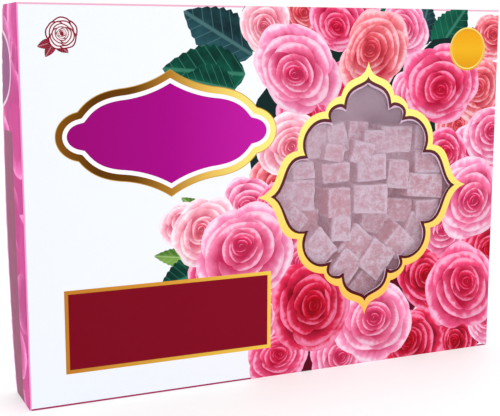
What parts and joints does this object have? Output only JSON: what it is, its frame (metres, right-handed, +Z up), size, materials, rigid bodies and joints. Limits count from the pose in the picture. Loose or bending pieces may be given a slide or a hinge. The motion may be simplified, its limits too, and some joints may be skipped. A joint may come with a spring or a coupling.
{
  "type": "windowed carton of turkish delight cubes",
  "caption": "Shut upright card carton with an ornate clear window showing a heap of starch-dusted turkish delight cubes.",
  "frame": {"origin": "middle of the carton's base, on the surface that it stands on", "axes": "+Z up, +X along the carton's length to the right of its front, front panel with the window facing -Y"},
  "size_m": [0.28, 0.0336, 0.201],
  "materials": {
    "printed_card": "coated folding card, satin, printed with roses on white",
    "clear_film": "clear glossy film",
    "dusted_delight": "pale pink sugar gel under a matt dusting of starch"
  },
  "bodies": {
    "root": {"carton": "printed_card", "window_film": "clear_film", "delight_heap": "dusted_delight"}
  },
  "joints": []
}
